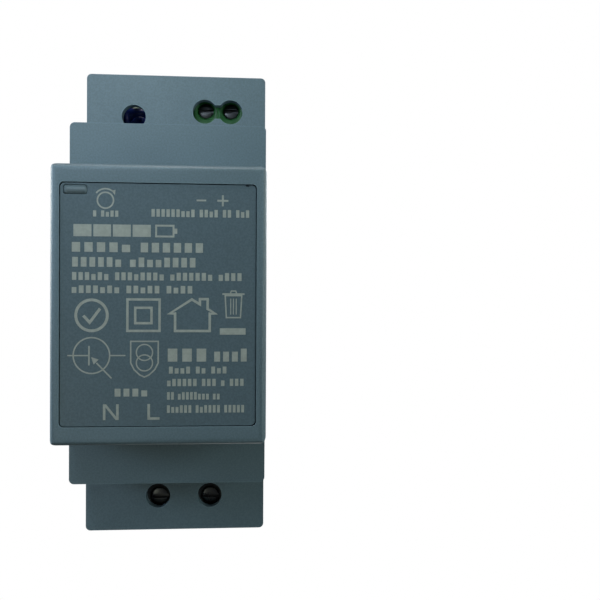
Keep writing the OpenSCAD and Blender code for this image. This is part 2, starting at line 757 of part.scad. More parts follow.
module sink_hole(z, lift) {
  translate([-1, z, lift + tab_hole_h]) rotate([0, 90, 0]) cylinder(h = sink_t + 2, r = 1.5);
}

module sink_tab(z) {
  translate([sink_t - tab_w, z - 0.75, lead_end]) cube([tab_w, 1.5, 1.1 - lead_end]);
}

module primary_heat_sink() {
  color([0.72, 0.73, 0.75]) sink_place(-1) difference() {
    union() {
      translate([0, -1.4, 1]) cube([sink_t, 18, 27]);
      translate([0, -1.4, 28 - sink_t]) cube([6.4, 18, sink_t]);
      for (i = [0, 1]) sink_tab(sink_tabs[i][1]);
    }
    sink_hole(primary_z, primary_lift);
  }
}

module secondary_heat_sink() {
  color([0.72, 0.73, 0.75]) sink_place(1) difference() {
    union() {
      translate([0, 20.6, 1]) cube([sink_t, 9.8, 23]);
      for (i = [2, 3]) sink_tab(sink_tabs[i][1]);
    }
    sink_hole(secondary_z, secondary_lift);
  }
}

module to220(z, lift) {
  tall = to220_h + 6.3;
  translate([sink_t + 0.02, z, lift]) difference() {
    rotate([90, 0, 0]) linear_extrude(10, center = true) polygon([
      [0, 0], [to220_t - 0.3, 0], [to220_t, 1.2], [to220_t, to220_h - 1.5], [to220_t - 0.5, to220_h],
      [tab_t, to220_h], [tab_t, tall], [0, tall]
    ]);
    translate([-1, 0, tab_hole_h]) rotate([0, 90, 0]) cylinder(h = 8, r = 1.8);
  }
}

module primary_transistor() {
  color([0.11, 0.11, 0.12]) sink_place(-1) to220(primary_z, primary_lift);
}

module secondary_rectifier() {
  color([0.11, 0.11, 0.12]) sink_place(1) to220(secondary_z, secondary_lift);
}

module sink_screw(z, lift) {
  translate([0.1, z, lift + tab_hole_h]) rotate([0, 90, 0]) difference() {
    union() {
      cylinder(h = sink_t + tab_t + 0.2, r = 1.45);
      translate([0, 0, sink_t + tab_t]) cylinder(h = 2.1, r = 2.7);
    }
    for (a = [0, 90]) rotate(a) translate([-1.7, -0.35, sink_t + tab_t + 1]) cube([3.4, 0.7, 3]);
  }
}

module heat_sink_screws() {
  color([0.7, 0.71, 0.72]) {
    sink_place(-1) sink_screw(primary_z, primary_lift);
    sink_place(1) sink_screw(secondary_z, secondary_lift);
  }
}

// Output filter, feedback and control

module output_capacitors() {
  color([0.78, 0.79, 0.8]) on_board() for (p = out_cap_at) at(p, 0.4) can(out_cap_r - 0.15, out_cap_h);
}

module output_capacitor_sleeves() {
  color([0.09, 0.1, 0.13]) on_board() for (p = out_cap_at) at(p, 0.4) sleeve(out_cap_r - 0.13, out_cap_h);
}

module output_choke_core() {
  color([0.2, 0.2, 0.2]) on_board() at(out_choke_at, 0.4) rotate_extrude()
    polygon([[0, 0], [3.5, 0], [3.5, 1.3], [1.6, 1.3], [1.6, 6.7], [3.5, 6.7], [3.5, 8], [0, 8]]);
}

module output_choke_winding() {
  color([0.72, 0.38, 0.16]) on_board() at(out_choke_at, 1.72) rotate_extrude()
    translate([1.62, 0]) square([1.6, 5.36]);
}

module optocoupler() {
  color([0.93, 0.93, 0.9]) on_board() at(opto_at, 0.5) difference() {
    translate([-2.5, -2.3, 0]) cube([5, 4.6, 3.5]);
    translate([-1.7, 1.4, 3.3]) cylinder(h = 1, r = 0.45);
  }
}

module controller_chip() {
  color([0.1, 0.1, 0.11]) on_board() translate([2, 3, -board_t]) {
    translate([-2.5, -2, -1.6]) cube([5, 4, 1.5]);
    for (s = [-1, 1], i = [0 : 3])
      translate([-1.9 + i * 1.27, s * 2.5, -0.3]) cube([0.42, 1.1, 0.6], center = true);
  }
}

module small_parts() {
  color([0.2, 0.2, 0.22]) on_board() for (p = small_at)
    translate([p[0], p[1], -board_t - 0.32]) cube([3.1, 1.6, 0.6], center = true);
}

module component_leads() {
  color([0.8, 0.8, 0.78]) on_board() {
    for (w = wires) at(w, lead_end) cylinder(h = w[3] - lead_end, r = w[2], $fn = 24);
    for (s = [-1, 1]) {
      at([fuse_at[0] + s * 8.7, fuse_at[1]], lead_end) cylinder(h = fuse_h - lead_end, r = 0.4, $fn = 24);
      at([fuse_at[0] + s * 8.7, fuse_at[1]], fuse_h) sphere(r = 0.4, $fn = 24);
      at([fuse_at[0] + s * 8, fuse_at[1]], fuse_h) rotate([0, 90, 0])
        cylinder(h = 1.4, r = 0.4, center = true, $fn = 24);
    }
    for (s = [-1, 1], t = [-1, 1]) at([opto_at[0] + s * 2.6, opto_at[1] + t * 1.27], 2.2)
      cube([0.9, 0.6, 0.4], center = true);
  }
}

front_housing();
rear_base();
front_plate();
light_pipe();
status_led();
main_board();
insulation_sheet();
board_screws();
rail_clip();
rail_clip_spring();
minus_pole_housing();
plus_pole_housing();
n_pole_housing();
l_pole_housing();
minus_screw();
plus_screw();
n_screw();
l_screw();
minus_cage();
plus_cage();
n_cage();
l_cage();
output_current_bars();
input_current_bars();
trimmer_body();
trimmer_rotor();
fuse_tube();
fuse_caps();
inrush_thermistor();
surge_varistor();
x_capacitor();
y_capacitor();
choke_core();
choke_windings();
choke_base();
bridge_rectifier();
bulk_capacitor();
bulk_capacitor_sleeve();
transformer_core();
transformer_bobbin();
transformer_winding();
primary_heat_sink();
primary_transistor();
secondary_heat_sink();
secondary_rectifier();
heat_sink_screws();
output_capacitors();
output_capacitor_sleeves();
output_choke_core();
output_choke_winding();
optocoupler();
controller_chip();
small_parts();
component_leads();
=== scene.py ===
"""Looks for a DIN rail power supply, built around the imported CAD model. Lengths are in millimetres
in the helpers' arguments and in metres in Blender."""

import itertools
import json
import math
import random

import bmesh
import bpy
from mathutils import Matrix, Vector


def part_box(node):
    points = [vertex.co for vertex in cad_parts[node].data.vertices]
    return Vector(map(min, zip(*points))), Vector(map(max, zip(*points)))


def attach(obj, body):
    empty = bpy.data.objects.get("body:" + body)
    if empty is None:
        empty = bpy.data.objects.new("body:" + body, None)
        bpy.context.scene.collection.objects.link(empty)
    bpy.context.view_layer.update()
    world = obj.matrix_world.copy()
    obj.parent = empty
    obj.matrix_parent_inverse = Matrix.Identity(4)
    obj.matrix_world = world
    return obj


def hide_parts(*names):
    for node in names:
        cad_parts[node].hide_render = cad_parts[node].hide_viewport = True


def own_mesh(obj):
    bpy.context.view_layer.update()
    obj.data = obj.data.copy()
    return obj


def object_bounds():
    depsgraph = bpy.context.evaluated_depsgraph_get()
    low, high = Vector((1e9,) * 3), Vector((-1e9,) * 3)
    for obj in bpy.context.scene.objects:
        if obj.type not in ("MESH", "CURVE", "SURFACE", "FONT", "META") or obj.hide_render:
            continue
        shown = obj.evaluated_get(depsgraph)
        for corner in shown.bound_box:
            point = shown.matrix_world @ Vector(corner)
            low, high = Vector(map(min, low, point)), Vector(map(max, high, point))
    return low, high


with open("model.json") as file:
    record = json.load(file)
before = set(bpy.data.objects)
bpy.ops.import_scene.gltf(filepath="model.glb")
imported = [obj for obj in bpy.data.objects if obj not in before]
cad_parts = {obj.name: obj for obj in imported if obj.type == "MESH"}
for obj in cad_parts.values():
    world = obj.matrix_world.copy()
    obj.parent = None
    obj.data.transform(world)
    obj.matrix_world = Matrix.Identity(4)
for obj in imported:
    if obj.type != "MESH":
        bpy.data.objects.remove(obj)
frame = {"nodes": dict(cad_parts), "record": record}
cad_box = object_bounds()
nodes = frame["nodes"]
record = frame["record"]
MM = 0.001
rng = random.Random(7)


# ---------------------------------------------------------------- materials


class Look:
    """A Principled material built up from a few procedural layers in object coordinates."""

    def __init__(self, name, colour, rough, metal=0.0, **sockets):
        self.material = bpy.data.materials.new(name)
        self.material.use_nodes = True
        self.tree = self.material.node_tree
        self.shader = self.tree.nodes["Principled BSDF"]
        self.colour = colour
        self.rough = rough
        self.set("Base Color", (*colour, 1))
        self.set("Roughness", rough)
        self.set("Metallic", metal)
        for socket, value in sockets.items():
            self.set(socket.replace("_", " "), value)
        self.material.diffuse_color = (*colour, 1)

    def set(self, socket, value):
        self.shader.inputs[socket].default_value = value

    def node(self, kind, **values):
        made = self.tree.nodes.new(kind)
        for key, value in values.items():
            if key in made.inputs:
                made.inputs[key].default_value = value
            else:
                setattr(made, key, value)
        return made

    def link(self, a, b):
        self.tree.links.new(a, b)

    def coords(self, stretch=(1, 1, 1)):
        if not hasattr(self, "_coords"):
            self._coords = self.node("ShaderNodeTexCoord")
        if stretch == (1, 1, 1):
            return self._coords.outputs["Object"]
        mapping = self.node("ShaderNodeMapping")
        mapping.inputs["Scale"].default_value = stretch
        self.link(self._coords.outputs["Object"], mapping.inputs["Vector"])
        return mapping.outputs["Vector"]

    def noise(self, size, stretch=(1, 1, 1), detail=4.0):
        """Noise whose blobs are about size millimetres across."""
        made = self.node("ShaderNodeTexNoise", Scale=1 / (size * MM), Detail=detail, Roughness=0.55)
        self.link(self.coords(stretch), made.inputs["Vector"])
        return made.outputs["Fac"]

    def ramp(self, factor, stops):
        """Colours at positions along the factor."""
        made = self.node("ShaderNodeValToRGB")
        ramp = made.color_ramp
        while len(ramp.elements) < len(stops):
            ramp.elements.new(0.5)
        for element, (position, colour) in zip(ramp.elements, stops):
            element.position = position
            element.color = (*colour, 1)
        self.link(factor, made.inputs["Fac"])
        return made.outputs["Color"]

    def scale(self, factor, low, high, start=0.3, end=0.7):
        """Maps the factor's range from start to end onto the range from low to high."""
        made = self.node("ShaderNodeMapRange")
        for name, value in (("From Min", start), ("From Max", end), ("To Min", low), ("To Max", high)):
            made.inputs[name].default_value = value
        self.link(factor, made.inputs["Value"])
        return made.outputs["Result"]

    def mix(self, factor, a, b, how="MIX"):
        """Mixes two colours. The sockets are told by number, since the node has one set for each type."""
        made = self.node("ShaderNodeMix", data_type="RGBA", blend_type=how)
        for socket, value in ((made.inputs[0], factor), (made.inputs[6], a), (made.inputs[7], b)):
            if isinstance(value, bpy.types.NodeSocket):
                self.link(value, socket)
            elif isinstance(value, tuple):
                socket.default_value = (*value, 1)
            else:
                socket.default_value = value
        return made.outputs[2]

    def paint(self, colour):
        """Makes that output the base colour."""
        self.base = colour
        self.link(colour, self.shader.inputs["Base Color"])
        return self

    def mottle(self, size, spread, stretch=(1, 1, 1), rough_spread=0.08):
        """Uneven colour and gloss over blobs of that size."""
        fac = self.noise(size, stretch)
        low = tuple(c * (1 - spread) for c in self.colour)
        high = tuple(min(1, c * (1 + spread)) for c in self.colour)
        self.link(self.scale(fac, self.rough + rough_spread, self.rough - rough_spread),
                  self.shader.inputs["Roughness"])
        return self.paint(self.ramp(fac, ((0.3, low), (0.7, high))))

    def speckle(self, size, spread):
        """Fine darker specks over the colour."""
        shade = self.ramp(self.noise(size, detail=2.0), ((0.38, (1 - spread,) * 3), (0.62, (1, 1, 1))))
        return self.paint(self.mix(1.0, self.base, shade, "MULTIPLY"))

    def bump(self, factor, depth, strength):
        """Relief of that depth in millimetres, over any relief there already."""
        made = self.node("ShaderNodeBump", Strength=strength, Distance=depth * MM)
        self.link(factor, made.inputs["Height"])
        normal = self.shader.inputs["Normal"]
        if normal.links:
            self.link(normal.links[0].from_socket, made.inputs["Normal"])
        self.link(made.outputs["Normal"], normal)
        return self

    def grain(self, size, depth, strength, stretch=(1, 1, 1)):
        return self.bump(self.noise(size, stretch, detail=3.0), depth, strength)

    def paint_edge_highlights(self, radius, amount):
        """Painted highlight: edges coloured lighter where a bevel normal marks them, standing in for the
        light that rounded edges catch.
        """
        bevel = self.node("ShaderNodeBevel", samples=4, Radius=radius * MM)
        geometry = self.node("ShaderNodeNewGeometry")
        dot = self.node("ShaderNodeVectorMath", operation="DOT_PRODUCT")
        self.link(bevel.outputs["Normal"], dot.inputs[0])
        self.link(geometry.outputs["True Normal"], dot.inputs[1])
        # Painted highlight mask: strongest where the bevel normal turns furthest from the true normal
        edge_highlight = self.scale(dot.outputs["Value"], amount, 0.0, start=0.75, end=0.99)
        highlight_colour = tuple(min(1, c * 1.9) for c in self.colour)
        return self.paint(self.mix(edge_highlight, self.base, highlight_colour))

    def soft_edges(self, radius):
        """Shades sharp edges as if they were rounded by that radius."""
        bevel = self.node("ShaderNodeBevel", samples=4, Radius=radius * MM)
        normal = self.shader.inputs["Normal"]
        if normal.links:
            bump = normal.links[0].from_node
            while bump.inputs["Normal"].links:
                bump = bump.inputs["Normal"].links[0].from_node
            self.link(bevel.outputs["Normal"], bump.inputs["Normal"])
        else:
            self.link(bevel.outputs["Normal"], normal)
        return self


def moulded(name, colour, rough, depth=0.014, edge_highlight=0.55):
    """Injection-moulded plastic with a fine spark-eroded grain, and a painted highlight along its edges."""
    fine, coarse = 0.16, 0.8
    look = Look(name, colour, rough).mottle(9, 0.035, rough_spread=0.04).speckle(0.3, 0.14)
    look.grain(fine, depth, 0.7).grain(coarse, depth * 0.8, 0.25)
    # Painted highlight along the edges, as strong as the amount given
    if edge_highlight:
        look.paint_edge_highlights(0.22, edge_highlight)
    return look


def metal(name, colour, rough, brushed=(1, 1, 1), depth=0.004, blobs=1.5):
    """Bare metal, whose brushing runs along the axes that brushed shrinks."""
    look = Look(name, colour, rough, 1.0).mottle(blobs, 0.09, brushed, 0.09)
    return look.grain(0.12, depth, 0.5, brushed).soft_edges(0.08)


def board_look(name, colour):
    """Solder mask over tracks, with the weave of the laminate under it."""
    look = Look(name, colour, 0.34)
    cells = look.node("ShaderNodeTexVoronoi", distance="CHEBYCHEV", feature="F1", Scale=1 / (5.5 * MM))
    look.link(look.coords((1, 0.02, 1)), cells.inputs["Vector"])
    tracks = look.node("ShaderNodeMath", operation="PINGPONG")
    look.link(cells.outputs["Distance"], tracks.inputs[0])
    tracks.inputs[1].default_value = 0.11
    copper = look.scale(tracks.outputs["Value"], 0, 1, start=0.045, end=0.06)
    weave = look.node("ShaderNodeTexChecker", Scale=1 / (0.35 * MM))
    look.link(look.coords(), weave.inputs["Vector"])
    under = look.mix(weave.outputs["Fac"], tuple(c * 0.86 for c in colour), colour)
    look.paint(look.mix(copper, under, tuple(min(1, c * 1.75 + 0.01) for c in colour)))
    return look.bump(copper, 0.03, 0.8).grain(0.3, 0.004, 0.4)


def windings_look(name, colour):
    """Copper under clear enamel."""
    look = Look(name, colour, 0.24, 1.0, Coat_Weight=0.6, Coat_Roughness=0.12)
    return look.mottle(1.2, 0.16, rough_spread=0.06).grain(0.2, 0.004, 0.4)


def sleeve_look(name, colour):
    """Shrunk film with faint pulls round the can."""
    look = Look(name, colour, 0.3, Coat_Weight=0.3, Coat_Roughness=0.2).mottle(3, 0.1)
    return look.grain(0.9, 0.02, 0.5, (0.25, 1, 0.25)).grain(0.15, 0.003, 0.3)


def coated_disc(name, colour):
    """Dipped coating, a little lumpy and glossy."""
    look = Look(name, colour, 0.3, Coat_Weight=0.4).mottle(1.6, 0.12)
    return look.grain(1.3, 0.08, 0.5).grain(0.2, 0.005, 0.4)


def ferrite_look(name, colour):
    """Sintered ferrite, matt and sandy."""
    return Look(name, colour, 0.55).mottle(1.1, 0.25).grain(0.25, 0.02, 0.7).soft_edges(0.2)


def tape_look(name, colour):
    """Glossy film, creased along its turns."""
    look = Look(name, colour, 0.28, Coat_Weight=0.5).mottle(5, 0.07)
    return look.grain(1.6, 0.03, 0.5, (0.15, 1, 1)).soft_edges(0.2)


def ink_look(name, colour):
    return Look(name, colour, 0.55).mottle(0.7, 0.1).grain(0.12, 0.004, 0.4)


def glassy(name, colour, rough, **sockets):
    return Look(name, colour, rough, **sockets).mottle(4, 0.03, rough_spread=0.02).grain(0.6, 0.002, 0.3)


LOOKS = {
    "housing_plastic": lambda n: moulded(n, (0.160, 0.226, 0.262), 0.47),
    "base_plastic": lambda n: moulded(n, (0.147, 0.211, 0.244), 0.47),
    "plate_plastic": lambda n: moulded(n, (0.123, 0.174, 0.203), 0.44),
    "clear_lens": lambda n: glassy(n, (0.165, 0.22, 0.245), 0.42, Transmission_Weight=0.15, IOR=1.5),
    "lamp_resin": lambda n: glassy(n, (0.25, 0.62, 0.3), 0.15, Transmission_Weight=0.7, IOR=1.52),
    "board_laminate": lambda n: board_look(n, (0.012, 0.085, 0.035)),
    "insulating_film": lambda n: glassy(n, (0.80, 0.76, 0.62), 0.35, Transmission_Weight=0.3),
    # Darker than bare zinc plate: painted shade, standing in for the shade that falls in the terminal holes
    # round the screw heads
    "zinc_steel": lambda n: metal(n, (0.15, 0.155, 0.16), 0.34, depth=0.001, blobs=4),
    "spring_steel": lambda n: metal(n, (0.55, 0.56, 0.58), 0.22),
    "green_block": lambda n: moulded(n, (0.030, 0.150, 0.040), 0.4, depth=0.008),
    "dark_block": lambda n: moulded(n, (0.022, 0.023, 0.024), 0.4, depth=0.008),
    "plated_brass": lambda n: metal(n, (0.72, 0.66, 0.50), 0.28),
    "tinned_copper": lambda n: metal(n, (0.75, 0.74, 0.71), 0.25),
    "trimmer_blue": lambda n: moulded(n, (0.012, 0.040, 0.25), 0.36, depth=0.005, edge_highlight=0.2),
    "white_nylon": lambda n: moulded(n, (0.70, 0.69, 0.64), 0.38, depth=0.005, edge_highlight=0),
    "fuse_glass": lambda n: glassy(n, (0.93, 0.96, 0.95), 0.03, Transmission_Weight=1.0, IOR=1.5),
    "fuse_metal": lambda n: metal(n, (0.74, 0.72, 0.68), 0.22),
    "black_coating": lambda n: coated_disc(n, (0.020, 0.024, 0.022)),
    "blue_coating": lambda n: coated_disc(n, (0.025, 0.095, 0.32)),
    "yellow_case": lambda n: moulded(n, (0.72, 0.48, 0.035), 0.35, depth=0.005, edge_highlight=0.15),
    "ferrite": lambda n: ferrite_look(n, (0.035, 0.035, 0.037)),
    "enamelled_copper": lambda n: windings_look(n, (0.66, 0.25, 0.10)),
    "can_aluminium": lambda n: metal(n, (0.80, 0.81, 0.82), 0.24, (0.06, 1, 0.06)),
    "can_sleeve": lambda n: sleeve_look(n, (0.014, 0.020, 0.045)),
    "polyester_tape": lambda n: tape_look(n, (0.78, 0.54, 0.06)),
    "bobbin_phenolic": lambda n: moulded(n, (0.020, 0.018, 0.017), 0.5, depth=0.01, edge_highlight=0.25),
    "epoxy_black": lambda n: moulded(n, (0.022, 0.022, 0.024), 0.55, depth=0.01, edge_highlight=0.25),
    "sink_aluminium": lambda n: metal(n, (0.77, 0.78, 0.80), 0.3, (1, 1, 0.04), 0.01),
}

looks = {}
for entry in record["materials"]:
    slot = entry["slot"]
    looks[slot] = LOOKS[slot](slot).material
looks["print_ink"] = ink_look("print_ink", (0.42, 0.44, 0.395)).material

slot_of = {part["node"]: part["material_slot"] for part in record["subparts"]}


def dress(obj, slot, look=None):
    """Gives obj that slot's own material, unless another look is named to take its place."""
    obj.data.materials.clear()
    obj.data.materials.append(looks[look or slot])


for name, node in nodes.items():
    dress(node, slot_of[name])


# ---------------------------------------------------------------- edges of the CAD shells

ROUNDED = {"front_housing": 0.16, "rear_base": 0.22, "front_plate": 0.12, "rail_clip": 0.3}
WELD_GAP = 0.001
FLAT = math.radians(0.6)
CORNER = math.radians(40)
# Angles over which an edge is shaded as sharp
CRISP = math.radians(8)
SHARP = math.radians(32)
CURVED = math.radians(40)
SOFT = math.radians(50)
ROUND = math.pi


def smooth_by_angle(mesh, angle=SHARP):
    if mesh.attributes.get("custom_normal"):
        mesh.attributes.remove(mesh.attributes["custom_normal"])
    mesh.polygons.foreach_set("use_smooth", [True] * len(mesh.polygons))
    mesh.set_sharp_from_angle(angle=angle)


for name, node in nodes.items():
    weld = node.modifiers.new("weld", "WELD")
    weld.merge_threshold = WELD_GAP * MM
    if name in ROUNDED:
        flat = node.modifiers.new("flat", "DECIMATE")
        flat.decimate_type = "DISSOLVE"
        flat.angle_limit = FLAT
        bevel = node.modifiers.new("edges", "BEVEL")
        bevel.width = ROUNDED[name] * MM
        bevel.segments = 2
        bevel.limit_method = "ANGLE"
        bevel.angle_limit = CORNER
        bevel.harden_normals = True
    smooth_by_angle(node.data, CRISP if name == "light_pipe" else SHARP)


# ---------------------------------------------------------------- mesh helpers


def add_piece(name, mesh, slot, body="root", look=None, smooth=SHARP):
    obj = bpy.data.objects.new(name, mesh)
    bpy.context.scene.collection.objects.link(obj)
    dress(obj, slot, look)
    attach(obj, body)
    smooth_by_angle(mesh, smooth)
    return obj


def mesh_of(name, points, faces):
    """Mesh from points in millimetres."""
    mesh = bpy.data.meshes.new(name)
    mesh.from_pydata([tuple(c * MM for c in p) for p in points], [], faces)
    mesh.validate()
    bm = bmesh.new()
    bm.from_mesh(mesh)
    bmesh.ops.recalc_face_normals(bm, faces=bm.faces)
    bm.to_mesh(mesh)
    bm.free()
    return mesh


class Parts:
    """Collects closed solids into one mesh."""

    def __init__(self):
        self.points, self.faces = [], []

    def add(self, points, faces):
        base = len(self.points)
        self.points += [tuple(p) for p in points]
        self.faces += [tuple(i + base for i in f) for f in faces]

    def skin(self, rings):
        """A solid through rings of points, with flat ends."""
        sides = len(rings[0])
        faces = []
        for i in range(len(rings) - 1):
            a, b = i * sides, (i + 1) * sides
            for j in range(sides):
                k = (j + 1) % sides
                faces.append((a + j, a + k, b + k, b + j))
        first = range(sides)
        last = range((len(rings) - 1) * sides, len(rings) * sides)
        self.add([p for ring in rings for p in ring], faces + [tuple(first)[::-1], tuple(last)])

    def tube(self, path, radius, sides):
        """A round wire along a path."""
        path = [Vector(p) for p in path]
        rings, normal = [], None
        for i, p in enumerate(path):
            before, after = path[max(i - 1, 0)], path[min(i + 1, len(path) - 1)]
            along = (after - before).normalized()
            if normal is None:
                normal = along.orthogonal().normalized()
            normal = (normal - along * normal.dot(along)).normalized()
            side = along.cross(normal)
            angles = [math.tau * j / sides for j in range(sides)]
            rings.append([p + radius * (math.cos(a) * normal + math.sin(a) * side) for a in angles])
        self.skin(rings)

    def ribbon(self, rows, closed):
        """A solid band between four rows of points: both edges of one face, then both of the other."""
        n = len(rows[0])
        faces = []
        for i in range(n if closed else n - 1):
            a, b = i, (i + 1) % n
            faces += [(a, b, n + b, n + a), (2 * n + b, 2 * n + a, 3 * n + a, 3 * n + b),
                      (b, a, 2 * n + a, 2 * n + b), (n + a, n + b, 3 * n + b, 3 * n + a)]
        if not closed:
            last = n - 1
            faces += [(0, n, 3 * n, 2 * n), (n + last, last, 2 * n + last, 3 * n + last)]
        self.add([p for row in rows for p in row], faces)

    def lathe(self, profile, place, sides):
        """Turns (radius, height) points round the local z axis; place maps local points to the part."""
        points, faces, rings = [], [], []
        for r, h in profile:
            if r == 0:
                rings.append([len(points)] * sides)
                points.append(place(Vector((0, 0, h))))
                continue
            rings.append(list(range(len(points), len(points) + sides)))
            for j in range(sides):
                a = math.tau * j / sides
                points.append(place(Vector((r * math.cos(a), r * math.sin(a), h))))
        for low, high in zip(rings, rings[1:]):
            for j in range(sides):
                k = (j + 1) % sides
                face = (low[j], low[k], high[k], high[j])
                faces.append(tuple(dict.fromkeys(face)))
        self.add(points, [f for f in faces if len(f) > 2])

    def mesh(self, name):
        return mesh_of(name, self.points, self.faces)


# ---------------------------------------------------------------- print on the front plate

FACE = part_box("front_plate")[0].y / MM
INK = 0.02
MITRE_LIMIT = 0.4


class Print(Parts):
    """Thin raised ink in the plane of the plate, from (x, z) outlines in millimetres."""

    def line(self, points, width, closed=False):
        """A stroke with mitred corners."""
        pts = [Vector(p) for p in points]
        n, left, right = len(pts), [], []
        for i, p in enumerate(pts):
            before = pts[i - 1] if i or closed else None
            after = pts[(i + 1) % n] if i < n - 1 or closed else None
            legs = [(p - before).normalized()] if before is not None else []
            legs += [(after - p).normalized()] if after is not None else []
            normals = [Vector((-d.y, d.x)) for d in legs]
            mitre = sum(normals, Vector((0, 0))).normalized()
            reach = width / 2 / max(mitre.dot(normals[0]), MITRE_LIMIT)
            left.append(p + mitre * reach)
            right.append(p - mitre * reach)
        levels = (FACE - INK, FACE + INK / 2)
        self.ribbon([[(x, y, z) for x, z in row] for y in levels for row in (left, right)], closed)

    def arc(self, centre, radius, start, end, width):
        whole = abs(end - start) >= 360
        steps = max(8, int(abs(end - start) / 7.5))
        angles = [math.radians(start + (end - start) * i / steps) for i in range(steps + (not whole))]
        x, z = centre
        self.line([(x + radius * math.cos(a), z + radius * math.sin(a)) for a in angles], width, whole)

    def box(self, x0, x1, z0, z1, width):
        self.line([(x0, z0), (x1, z0), (x1, z1), (x0, z1)], width, True)

    def fill(self, outline):
        n = len(outline)
        points = [(x, y, z) for y in (FACE - INK, FACE + INK / 2) for x, z in outline]
        faces = [tuple(range(n)), tuple(range(2 * n - 1, n - 1, -1))]
        self.add(points, faces + [(i, n + i, n + (i + 1) % n, (i + 1) % n) for i in range(n)])

    def bar(self, x0, x1, z0, z1):
        self.fill([(x0, z0), (x1, z0), (x1, z1), (x0, z1)])

    def row(self, x0, x1, top, height, words):
        """Blank blocks standing in for a line of text, as many in each word as words says."""
        gap, space = 0.34, 0.7
        pitch = (x1 - x0) / (sum(words) + space * (len(words) - 1) - gap)
        x = x0
        for count in words:
            for _ in range(count):
                tall = height * rng.choice((0.94, 0.94, 0.94, 0.72))
                self.bar(x, x + pitch * (1 - gap), top - height, top - height + tall)
                x += pitch
            x += pitch * space


ink = Print()
# Adjusting symbol and its caption
ink.arc((-8.55, 16.9), 1.28, 0, 360, 0.24)
ink.arc((-8.55, 16.9), 1.86, 142, 48, 0.24)
ink.fill([(-7.55, 18.45), (-7.05, 17.75), (-6.95, 18.6)])
ink.row(-10.5, -6.5, 15.3, 1.05, [1, 4])
# Polarity marks and the range beside them
ink.bar(6.05, 7.6, 16.95, 17.22)
ink.fill([(9.4, 16.93), (10.15, 16.93), (10.15, 16.18), (10.45, 16.18), (10.45, 16.93), (11.2, 16.93),
          (11.2, 17.23), (10.45, 17.23), (10.45, 17.98), (10.15, 17.98), (10.15, 17.23), (9.4, 17.23)])
ink.row(-1.2, 14.6, 15.65, 1.3, [9, 4, 2, 3])
# Heading block and a plain tab beside it
for left, right in ((-13.6, -10.75), (-10.45, -7.65), (-7.35, -4.5), (-4.2, -1.3)):
    ink.bar(left, right, 11.05, 13.0)
ink.box(-0.45, 2.35, 11.15, 12.9, 0.3)
ink.bar(2.5, 2.95, 11.6, 12.45)
# Rows of text
ink.row(-13.85, -4.6, 10.2, 1.65, [5])
ink.row(-2.9, 7.1, 10.2, 1.65, [6])
ink.row(-13.8, 5.9, 7.8, 1.65, [6, 8])
ink.row(-13.8, 13.4, 5.35, 1.35, [6, 8, 7, 4])
ink.row(-13.85, 5.4, 3.2, 1.3, [7, 5, 4])
# Tick in a ring
ink.arc((-10.7, -1.7), 2.5, 0, 360, 0.45)
ink.line([(-12.0, -1.75), (-11.0, -2.85), (-9.35, -0.6)], 0.45)
# Square in a square
ink.box(-5.0, 0.15, -4.2, 0.9, 0.38)
ink.box(-3.75, -1.15, -2.95, -0.45, 0.38)
# House
ink.line([(2.65, -4.2), (2.65, -1.35), (1.8, -1.35), (5.35, 0.95), (6.65, 0.15), (6.65, 1.0), (7.9, 1.0),
          (7.9, -0.6), (9.1, -1.35), (8.25, -1.35), (8.25, -4.2)], 0.4, True)
# Bin over a bar
ink.line([(10.75, 1.6), (10.95, -2.0), (13.25, -2.0), (13.45, 1.6)], 0.22, True)
ink.line([(10.3, 1.85), (13.9, 1.85)], 0.26)
ink.line([(11.6, 2.0), (11.75, 2.35), (12.45, 2.35), (12.6, 2.0)], 0.2)
for x in (11.65, 12.1, 12.55):
    ink.line([(x, 1.1), (x, -1.5)], 0.16)
ink.bar(9.9, 14.1, -4.8, -3.75)
# Junction symbol with its leads
ink.arc((-10.7, -8.2), 2.9, 0, 360, 0.22)
ink.line([(-14.5, -8.2), (-11.1, -8.2)], 0.2)
ink.line([(-11.1, -6.65), (-11.1, -9.8)], 0.24)
ink.line([(-7.75, -8.2), (-5.3, -8.2)], 0.2)
ink.line([(-7.5, -11.9), (-9.9, -9.4)], 0.22)
ink.fill([(-10.75, -8.45), (-9.55, -8.85), (-10.35, -9.65)])
# Shield round two rings
ink.line([(-4.45, -5.9), (-0.05, -5.9), (-0.05, -9.4), (-0.6, -10.5), (-1.5, -11.35), (-2.25, -11.7),
          (-3.0, -11.35), (-3.9, -10.5), (-4.45, -9.4)], 0.22, True)
ink.arc((-2.25, -7.7), 1.3, 0, 360, 0.2)
ink.arc((-2.25, -9.4), 1.3, 0, 360, 0.2)
# Block of rows beside it
ink.row(1.5, 7.7, -6.95, 2.25, [3])
ink.row(9.0, 14.3, -6.95, 2.25, [4])
ink.row(1.7, 11.0, -9.95, 1.2, [4, 2, 3])
ink.row(1.4, 13.8, -11.95, 1.25, [6, 3, 1, 3])
ink.row(1.4, 9.9, -14.1, 1.3, [2, 8, 2])
ink.row(1.4, 13.9, -16.25, 1.3, [6, 6, 5])
ink.row(-7.0, -1.8, -13.5, 1.35, [4])
# Pole letters
ink.fill([(-8.85, -18.65), (-8.85, -16.1), (-8.36, -16.1), (-6.75, -18.14), (-6.75, -16.1), (-6.35, -16.1),
          (-6.35, -18.65), (-6.84, -18.65), (-8.45, -16.61), (-8.45, -18.65)])
ink.fill([(-1.75, -18.65), (-1.75, -16.1), (-1.33, -16.1), (-1.33, -18.25), (0.2, -18.25), (0.2, -18.65)])
add_piece("front_print", ink.mesh("front_print"), "plate_plastic", look="print_ink")


# ---------------------------------------------------------------- details of the inner parts

BOARD = -16.3
BOX_FACES = ((0, 1, 3, 2), (4, 6, 7, 5), (0, 4, 5, 1), (2, 3, 7, 6), (0, 2, 6, 4), (1, 5, 7, 3))


